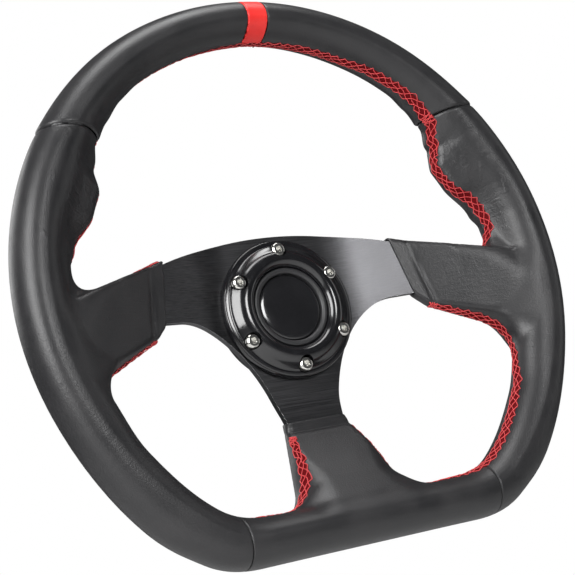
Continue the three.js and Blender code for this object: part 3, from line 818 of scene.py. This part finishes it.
def plate_outline():
    top = [(0, 45.4), *bezier([(0, 45.4), (40, 45.4), (76, 32.6)], 24)]
    arm = [(88, 27.4), (125, 15.5), (SIDE_ARM_END, 11), (SIDE_ARM_END, -14), (118, -13), (92, -8),
           (83, -2.2), (70, -1.8)]
    leg = [*bezier([(70, -1.8), (46, -2), (22, -34), (18.3, -70)], 28), (18, BOTTOM_ARM_END)]
    half = top + arm + leg
    return half + [(-x, y) for x, y in reversed(half[1:])]


def spoke_plate():
    bm = bmesh.new()
    verts = [bm.verts.new((x, y, 0)) for x, y in plate_outline()]
    bm.faces.new(verts)
    # Lines across the bends, so that the plate follows them.
    lines = [((x * side, 0, 0), (1, 0, 0)) for side in (-1, 1) for x in np.arange(31, 56, 1.6)]
    lines += [((0, y, 0), (0, 1, 0)) for y in (*np.arange(-58, -51.5, 1.25), *np.arange(-76, -71.5, 1))]
    lines += [((0, -30, 0), (0, 1, 0))]
    for point, normal in lines:
        bmesh.ops.bisect_plane(bm, geom=bm.verts[:] + bm.edges[:] + bm.faces[:], dist=1e-4,
                               plane_co=point, plane_no=normal)
    top = bmesh.ops.extrude_face_region(bm, geom=bm.faces[:])["geom"]
    raised = {g for g in top if isinstance(g, bmesh.types.BMVert)}
    for v in bm.verts:
        x, y = np.array(abs(v.co.x)), np.array(v.co.y)
        middle = float(side_arm_z(x) + bottom_arm_z(y)) - PLATE / 2
        v.co.z = middle + (PLATE / 2 if v in raised else -PLATE / 2)
    bmesh.ops.recalc_face_normals(bm, faces=bm.faces)
    mesh = finished_mesh("brushed_spoke_plate", bm)
    placed = row(np.array([v.co for v in mesh.vertices]))
    mesh.vertices.foreach_set("co", placed.astype(np.float32).ravel())
    mesh.materials.append(ANODISED)
    mesh.materials.append(CHAMFER)
    mesh = subtract(mesh, combine("holes", [screw_holes(), bar_mesh("hub", HUB_HOLE, -9, 20, 96)]))
    plate = add("brushed_spoke_plate", mesh, replaces=["spoke_plate"])
    return soften(plate, 0.55, 1, 50, 1)


# ---------- horn and screws

def horn_pieces():
    crown = curve_through([(41.9, 8.2), (41.1, 9.2), (39.6, 9.7), (38.2, 10.0), (36.3, 11.5), (33.4, 14.1),
                           (30.2, 15.5), (27.4, 15.3), (25.2, 13.6), (24.1, 11.4)])
    profile = [(24.1, 4.9), (41.2, 4.9), (41.9, 5.6), *crown]
    ring = turned_mesh("gloss_horn_ring", profile, 160, GLOSS)
    bores = combine("bores", [bar_mesh("bore", 4.75, 8.2, 40, 40, x, y) for x, y in SCREW_PLACES])
    ring = subtract(subtract(ring, screw_holes()), bores)
    soften(add("gloss_horn_ring", ring, replaces=["horn_ring"]), 0.3, 2, 35)

    housing = turned_mesh("horn_button_housing", [
        (0, 1), (21.6, 1), (21.6, 4.9), (23.8, 4.9), (23.8, 11.4), (23.4, 12), (22.6, 12.2), (21.6, 12.1),
        (20.7, 11.6), (20.4, 11), (20.4, 7.6), (21.3, 7.2), (21.3, 2.6), (0, 2.6)], 128, PLASTIC)
    add("horn_button_housing", housing, replaces=["horn_housing"])
    crisp(housing, 40)

    face = curve_through([(0, 11.6), (6, 11.5), (12, 11.2), (16, 10.8), (18.6, 10.3), (19.7, 9.7),
                          (19.9, 9)])
    cap = turned_mesh("gloss_horn_cap", [
        (0, 9.4), (16.8, 8.9), (18.4, 8.2), (18.4, 6.2), (20.9, 6.2), (20.9, 7), (19.9, 7.3),
        *reversed(face)], 128, CAP_GLOSS)
    add("gloss_horn_cap", cap, "horn_button", ["horn_cap"])
    crisp(cap, 45)


def screws():
    for i, (x, y) in enumerate(SCREW_PLACES):
        body = turned_mesh(f"socket_screw_{i + 1}", [
            (0, -5.5), (2.1, -5.5), (2.5, -5.1), (2.5, 8.5), (4.25, 8.5), (4.25, 12.3),
            (4.05, 12.95), (3.55, 13.4), (3.0, 13.5), (2.9, 13.5), (0, 13.5)], 48, STAINLESS)
        socket = bar_mesh("socket", 2.0, 11.0, 15, 6, start=0.3 + i)
        body = subtract(body, socket)
        shift = row([(x, y, 0)])[0] - row([(0, 0, 0)])[0]
        body.transform(Matrix.Translation(shift))
        screw = add(f"socket_screw_{i + 1}", body, replaces=[f"screw_{i + 1}"])
        soften(screw, 0.16, 2, 32)


# ---------- quick release hub

def spline_cutter():
    """The toothed bore that slides over the column's splines."""
    n = SPLINE_TEETH * 4
    teeth = []
    for z in (-18, -4):
        for i in range(n):
            turn = (i + (-0.18 if i % 2 else 0.18)) / n * 2 * math.pi
            r = 12.9 if i % 4 < 2 else 10.4
            teeth.append((r * math.cos(turn), r * math.sin(turn), z))
    faces = [(i, (i + 1) % n, n + (i + 1) % n, n + i) for i in range(n)]
    splines = mesh_of("splines", teeth, [*faces, tuple(range(n))[::-1], tuple(range(n, 2 * n))], HUB)
    outward(splines)
    return splines


def ball_drills():
    """Bars along the six balls' paths, to cut their holes."""
    drills = []
    for a in BALL_ANGLES:
        drill = bar_mesh("drill", BALL_RADIUS + 0.2, 10, 22, 40)
        points = []
        for v in drill.vertices:
            across, sideways, along_radius = v.co.x / MM, v.co.z / MM, -v.co.y / MM - SLEEVE
            points.append((along_radius * math.cos(a) - sideways * math.sin(a),
                           along_radius * math.sin(a) + sideways * math.cos(a), across - BALL_DEPTH))
        drill.vertices.foreach_set("co", row(points).astype(np.float32).ravel())
        outward(drill)
        drills.append(drill)
    return drills


def release_body():
    body = turned_mesh("quick_release_body", [
        (9, -0.3), (40.6, -0.3), (41, -0.7), (41, -5.4), (40.4, -6), (25.2, -6), (24.5, -6.4), (24.5, -7.2),
        (18.05, -7.2), (18.05, -30.5), (16.7, -30.5), (16.7, -32.1), (18.05, -32.1), (18.05, -32.9),
        (17.45, -33.5), (13.8, -33.5), (13, -32.7), (13, -17), (11, -17), (11, -3.3), (9, -3.3)], 128, HUB)
    holes = combine("holes", [screw_holes(-8, 2), *ball_drills()])
    body = subtract(subtract(body, spline_cutter()), holes)
    soften(add("quick_release_body", body, replaces=["qr_body"]), 0.2, 2, 35)


def lock_balls():
    for i, a in enumerate(BALL_ANGLES):
        bm = bmesh.new()
        bmesh.ops.create_icosphere(bm, subdivisions=4, radius=BALL_RADIUS * MM)
        centre = row([(BALL_CENTRE * math.cos(a), BALL_CENTRE * math.sin(a), -BALL_DEPTH)])[0]
        bmesh.ops.translate(bm, verts=bm.verts, vec=Vector(centre))
        mesh = finished_mesh(f"steel_ball_{i + 1}", bm)
        mesh.materials.append(STAINLESS)
        mesh.shade_smooth()
        add(mesh.name, mesh, f"lock_ball_{i + 1}", [f"qr_ball_{i + 1}"])


def knurled(r, z, turn):
    """The collar's grip band has crossed grooves, 24 round each way; other radii stay."""
    if abs(r - KNURL_RADIUS) > 0.01:
        return r
    a = (turn * 24 / math.pi + z / 1.6) % 2
    b = (turn * 24 / math.pi - z / 1.6) % 2
    return r - KNURL_DEPTH * max(abs(a - 1), abs(b - 1))


def release_collar():
    band = [(KNURL_RADIUS, z) for z in np.arange(-17.2, -29.3, -0.4)]
    collar = turned_mesh("knurled_collar", [
        (23, -12), (25.2, -12), (26, -12.8), (26, -15.2), (25.2, -16), (24.3, -16.6), (24.3, -17.1), *band,
        (24.3, -29.4), (24.3, -29.9), (23.7, -30.5), (18.9, -30.5), (18.4, -30.1), (18.4, -28.8),
        (20.9, -28.8), (20.9, -24.8), (18.4, -22.3), (18.4, -18.5), (23, -18.5)], 384, COLLAR, knurled)
    add("knurled_collar", collar, "quick_release_collar", ["qr_collar"])
    crisp(collar, 32)


def spring(name, node, radius, wire, turns, z0, z1):
    """A closed helix of round wire from one height to another, carried by the wheel."""
    t = np.linspace(0, 1, int(turns * 40))
    turn = t * turns * 2 * math.pi
    centre = np.stack([radius * np.cos(turn), radius * np.sin(turn), z0 + (z1 - z0) * t], axis=1)
    outwards = np.stack([np.cos(turn), np.sin(turn), 0 * turn], axis=1)
    mesh = tube_mesh(name, [(centre, outwards)], wire, 10, STEEL)
    made = add(name, mesh, "wheel", [node])
    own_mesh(made)


# ---------- lacing

def tube_mesh(name, strands, radius, sides, material):
    """Round wires along lines; each strand is its points and a direction across each point."""
    points, faces, twist = [], [], []
    ring = np.arange(sides) * 2 * math.pi / sides
    for centre, up in strands:
        tangent = unit(np.gradient(centre, axis=0))
        side = unit(np.cross(tangent, up))
        over = np.cross(side, tangent)
        base = sum(len(p) for p in points)
        around = side[:, None] * np.cos(ring)[None, :, None] + over[:, None] * np.sin(ring)[None, :, None]
        points.append((centre[:, None] + radius * around).reshape(-1, 3))
        turns = distance_along(centre) / (radius * 2.6)
        twist.append((turns[:, None] + (ring / (2 * math.pi))[None]).ravel())
        for i in range(len(centre) - 1):
            for k in range(sides):
                a, b = base + i * sides + k, base + i * sides + (k + 1) % sides
                faces.append((a, b, b + sides, a + sides))
        last = base + (len(centre) - 1) * sides
        faces.append(tuple(range(base, base + sides))[::-1])
        faces.append(tuple(range(last, last + sides)))
    mesh = mesh_of(name, np.concatenate(points), faces, material)
    mark = mesh.attributes.new("twist", "FLOAT", "POINT")
    mark.data.foreach_set("value", np.concatenate(twist).astype(np.float32))
    mesh.shade_smooth()
    outward(mesh)
    return mesh


def opening_edge(centre, angles, heights):
    """Where lines from an opening's middle meet the leather, at the given heights."""
    turn = np.radians(angles)
    reach = np.linspace(4, 176, 700)
    p = np.empty((len(turn), len(reach), 3))
    p[..., 0] = centre[0] + np.cos(turn)[:, None] * reach
    p[..., 1] = centre[1] + np.sin(turn)[:, None] * reach
    p[..., 2] = heights[:, None]
    inside = leather_field(p) < 0
    each, first = np.arange(len(turn)), np.argmax(inside, axis=1)
    return p[each, first][inside[each, first]]


def evenly(points, spacing):
    """The line smoothed a little and stepped evenly, with the distance along it."""
    window = 9
    padded = np.concatenate([np.repeat(points[:1], window // 2, 0), points,
                             np.repeat(points[-1:], window // 2, 0)])
    mean = np.ones(window) / window
    smooth = np.stack([np.convolve(padded[:, i], mean, "valid") for i in range(3)], axis=1)
    length = distance_along(smooth)
    where = np.arange(0, length[-1], spacing)
    return np.stack([np.interp(where, length, smooth[:, i]) for i in range(3)], axis=1), where


def lacing(name, node, path, knots):
    """Four crossing strands of thread over a dark red strip, painted shade between the threads.

    A knot is wound at each given distance along the line, or back from its end when negative, and
    where the line crosses the upper seams.
    """
    line, where = evenly(path, LACE_STEP)
    line, up = project(line)
    tangent = unit(np.gradient(line, axis=0))
    side = np.cross(up, tangent)
    strands = []
    over_seam = 0.6 * np.exp(-((line[:, 1] - LACE_SEAM_Y - 2.5) / 4) ** 2)
    from_end = np.minimum(where, where[-1] - where)
    half = LACE_HALF * (0.6 + 0.4 * step(0, 35, from_end))
    for phase in (0, 0.5, 1, 1.5):
        uneven = 0.07 * np.sin(where * 0.31 + 4 * phase) + 0.05 * np.sin(where * 0.83 + 7 * phase)
        zigzag = 2 * np.abs((where / STITCH + phase + uneven) % 2 - 1) - 1
        across = half * (1 + 0.06 * np.sin(where * 0.57 + 2 * phase)) * zigzag
        lift = 0.36 + (0.3 if phase < 1 else 0.0) * (1 - np.abs(zigzag)) - 0.5 * np.abs(zigzag) ** 8
        p, n = project(line + side * across[:, None])
        strands.append((p + n * (lift + over_seam)[:, None], n))
    knots = [at if at >= 0 else where[-1] + at for at in knots]
    knots += list(where[np.flatnonzero(np.diff(np.sign(line[:, 1] - LACE_SEAM_Y)))])
    for at in knots:
        for turn in range(7):
            middle = int(np.clip(at / LACE_STEP + (turn - 3) * 1.8, 2, len(line) - 3))
            t = np.linspace(-1, 1, 15)
            lean = 1.6 * math.sin(turn * 2.1)
            p = (line[middle] + np.outer(t * half[middle] * 1.05, side[middle])
                 + np.outer(t * lean, tangent[middle]))
            p, n = project(p)
            strands.append((p + n * (0.85 + over_seam[middle] - 1.2 * np.abs(t) ** 4)[:, None], n))
    mesh = tube_mesh(name, strands, THREAD_RADIUS, 6, THREAD)
    add(name, mesh, replaces=[node])

    # A dark red strip just above the leather, under the threads: painted shade where the leather edges
    # meet.
    across = np.linspace(-1, 1, 9)
    p = line[:, None] + side[:, None] * (half - 0.25)[:, None, None] * across[None, :, None]
    p, n = project(p)
    p = p + n * ((0.14 - 0.3 * np.abs(across) ** 6)[None, :] + over_seam[:, None])[..., None]
    rows, cols = p.shape[:2]
    faces = [(i * cols + k, (i + 1) * cols + k, (i + 1) * cols + k + 1, i * cols + k + 1)
             for i in range(rows - 1) for k in range(cols - 1)]
    groove = mesh_of(f"{name}_groove", p.reshape(-1, 3), faces, LACING_SHADE)
    groove.shade_smooth()
    add(groove.name, groove)


# Heights of the lacing above the plate's back, by angle in degrees round each opening's middle.
TOP_OPENING = (0.0, 95.0)
TOP_LACE_HEIGHTS = ((-38.5, 12.5), (-35.5, 19), (-33, 24), (-29, 30), (-25, 34.6), (-19, 33.6), (-14, 32),
                    (-9, 31.6), (-4, 36), (2.5, 41), (11, 43.5), (22, 42), (43, 38.5), (90, 36.5))
# The left half sits further from the driver.
LEFT_LACE_HEIGHTS = ((-38.5, 11.5), (-35.5, 16.5), (-33, 19), (-29, 21.5), (-25, 24.5), (-19, 26.5),
                     (-9, 28), (11, 29), (43, 29.5), (60, 31), (76, 34.5), (90, 36.5))
LOWER_OPENING = (75.0, -60.0)
LOWER_LACE_HEIGHTS = ((-168, 9), (-162, 13.5), (-156, 18), (-149, 23), (-138, 28), (-130, 30), (-113, 36),
                      (-100, 39.5), (-85, 42.5), (-63, 42.5), (-40, 42), (-13, 40.5), (4, 36.5), (16, 31),
                      (24, 29), (38, 26.2), (47, 24.2), (58, 21.4), (68, 18.2), (82, 13))
# The left lower lacing sits further from the driver by this much.
LOWER_LEFT_LACING_LOWER = ((-128, 0), (-105, 3), (-85, 9), (-20, 9.5), (4, 7), (16, 4), (30, 3), (47, 3),
                           (70, 2))


def all_lacing():
    angles = np.arange(-38, 90.01, 0.1)
    heights = along(TOP_LACE_HEIGHTS, angles)
    right = opening_edge(TOP_OPENING, angles, heights - 6 * step(-28, -31, angles))
    left = opening_edge(TOP_OPENING, angles[:-1], along(LEFT_LACE_HEIGHTS, angles[:-1]))
    whole = np.concatenate([right, left[::-1] * np.array([-1, 1, 1])])
    lacing("top_cross_lacing", "lacing_top", whole, [3, -3])
    angles = np.arange(-164, 72, 0.15)
    heights = along(LOWER_LACE_HEIGHTS, angles)
    lower = opening_edge(LOWER_OPENING, angles, heights - 5 * step(-110, -125, angles))
    lacing("lower_cross_lacing_right", "lacing_lower_right", lower[::-1], [2.5, -2.5])
    lower = opening_edge(LOWER_OPENING, angles, heights - along(LOWER_LEFT_LACING_LOWER, angles))
    lacing("lower_cross_lacing_left", "lacing_lower_left", lower * np.array([-1, 1, 1]), [2.5, -2.5])


# ---------- leather pieces

def leather_pieces():
    skin = leather_mesh()

    def low(c):
        return c[1] < -60

    def neck(c):
        return abs(c[0]) < 40 and c[1] > -90

    for side, s in (("right", 1), ("left", -1)):
        up = (-s * math.sin(UPPER_SEAM_TILT), math.cos(UPPER_SEAM_TILT), 0)
        corner = (s * UPPER_SEAM[0], UPPER_SEAM[1], 0)

        def above(c, up=up, corner=corner):
            return (c - np.array(corner)) @ np.array(up)

        def blade(c, s=s):
            return c[0] * s < 100 and -30 < c[1] < 48

        top = leather_piece(
            f"top_wrap_{side}", skin,
            lambda c, s=s, above=above: ((above(c) > -EDGE_SPARE) & (c[:, 1] > 60)
                                         & (c[:, 0] * s > MARKER_HALF - EDGE_SPARE)),
            [seam(corner, up, 0.55, 2.0),
             seam((s * (MARKER_HALF + 0.05), 0, 0), (s, 0, 0), 0, 0.8)], LEATHER)
        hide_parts(f"top_leather_{side}")

        lean = Vector((s, SIDE_SEAM_LEAN, 0))
        grip = leather_piece(
            f"grip_wrap_{side}", skin,
            lambda c, s=s, above=above: ((above(c) < EDGE_SPARE) & (c[:, 0] * s > 60)
                                         & ((c[:, 1] > -60) | (c[:, 0] * s > LOWER_SEAM_X - EDGE_SPARE))),
            [seam(corner, [-a for a in up], -0.35, 2.0),
             seam((s * SIDE_SEAM_U, SIDE_SEAM_TOP, 0), lean, 0, 1.2, blade),
             seam((s * (LOWER_SEAM_X + 0.1), 0, 0), (s, 0, 0), 0, 0.9, low)], LEATHER)
        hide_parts(f"{side}_grip_leather")

    marker = leather_piece(
        "centre_marker_wrap", skin,
        lambda c: (np.abs(c[:, 0]) < MARKER_HALF + EDGE_SPARE) & (c[:, 1] > 60),
        [seam((MARKER_HALF, 0, 0), (-1, 0, 0), 0.1, 0.8), seam((-MARKER_HALF, 0, 0), (1, 0, 0), 0.1, 0.8)],
        RED_LEATHER)
    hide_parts("centre_marker_band")

    bottom = leather_piece(
        "bottom_wrap", skin,
        lambda c: (np.abs(c[:, 0]) < LOWER_SEAM_X + EDGE_SPARE) & (c[:, 1] < -55),
        [seam((LOWER_SEAM_X, 0, 0), (-1, 0, 0), 0, 0.9), seam((-LOWER_SEAM_X, 0, 0), (1, 0, 0), 0, 0.9),
         seam((0, BOTTOM_SEAM_Y, 0), (0, -1, 0), 0, 1.2, neck)], LEATHER)
    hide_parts("bottom_leather")


# ---------- floor and light

def studio():
    """A pale floor below the wheel, five softboxes, and a white background that lights it weakly."""
    bm = bmesh.new()
    bmesh.ops.create_grid(bm, x_segments=8, y_segments=8, size=4.0)
    bmesh.ops.translate(bm, verts=bm.verts, vec=(0, 0, -0.62))
    mesh = finished_mesh("floor", bm)
    m = Nodes("pale_floor")
    m.colours(m.noise(m.place(), 3, 3, 0.5), (0.3, (0.78, 0.78, 0.78)), (0.7, (0.82, 0.82, 0.82)))
    m.set(Roughness=0.8, Emission_Color=(0.8, 0.8, 0.8, 1))
    # The floor stays pale far from the softboxes, without lighting the wheel.
    seen = m.new("ShaderNodeLightPath").outputs["Is Camera Ray"]
    m.link(m.maths("MULTIPLY", seen, 0.55), m.shader.inputs["Emission Strength"])
    mesh.materials.append(m.material)
    floor = bpy.data.objects.new("floor", mesh)
    put(floor)

    # Softboxes: name, place, width and height in metres, power in watts.
    boxes = (
        ("left_softbox", (-1.4, -0.75, 0.5), 0.8, 1.4, 42),
        ("front_softbox", (-0.08, -1.75, 0.4), 0.55, 0.55, 15),
        ("top_softbox", (0.1, -0.35, 1.35), 1.1, 0.7, 17),
        ("right_softbox", (1.3, -0.55, 0.25), 0.4, 1.0, 1.5),
        ("back_softbox", (-0.7, 1.6, 0.9), 1.2, 1.0, 10),
    )
    for name, place, width, height, power in boxes:
        light = bpy.data.lights.new(name, "AREA")
        light.shape, light.size, light.size_y, light.energy = "RECTANGLE", width, height, power
        lamp = bpy.data.objects.new(name, light)
        lamp.location = place
        lamp.rotation_euler = (-Vector(place)).to_track_quat("-Z", "Y").to_euler()
        put(lamp)

    world = bpy.data.worlds.new("studio")
    bpy.context.scene.world = world
    world.use_nodes = True
    nodes, links = world.node_tree.nodes, world.node_tree.links
    seen, room = nodes["Background"], nodes.new("ShaderNodeBackground")
    for node, colour, strength in ((seen, (1, 1, 1, 1), 1.0), (room, (0.95, 0.97, 1, 1), 0.075)):
        node.inputs["Color"].default_value = colour
        node.inputs["Strength"].default_value = strength
    mix = nodes.new("ShaderNodeMixShader")
    ray = nodes.new("ShaderNodeLightPath")
    links.new(ray.outputs["Is Camera Ray"], mix.inputs["Fac"])
    links.new(room.outputs["Background"], mix.inputs[1])
    links.new(seen.outputs["Background"], mix.inputs[2])
    links.new(mix.outputs["Shader"], nodes["World Output"].inputs["Surface"])
    bpy.context.scene.view_settings.view_transform = "Standard"


# ---------- make everything

studio()
leather_pieces()
foam_core()
all_lacing()
spoke_plate()
horn_pieces()
screws()
release_body()
lock_balls()
release_collar()
spring("collar_return_spring", "qr_spring", 20.6, 0.7, 3.5, -8.3, -17.4)
spring("horn_return_spring", "horn_spring", 12.0, 0.5, 3.5, 3.4, 7.8)

# CAD pieces that stay as they are, with a plain metal on them.
KEPT_NODES = {
    "rim_hoop": STEEL, "qr_snap_ring": STEEL,
    "horn_moving_contact": BRASS, "horn_fixed_contact": BRASS,
    "horn_terminal_left": BRASS, "horn_terminal_right": BRASS,
}
for node, material in KEPT_NODES.items():
    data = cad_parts[node].data
    data.materials.clear()
    data.materials.append(material)
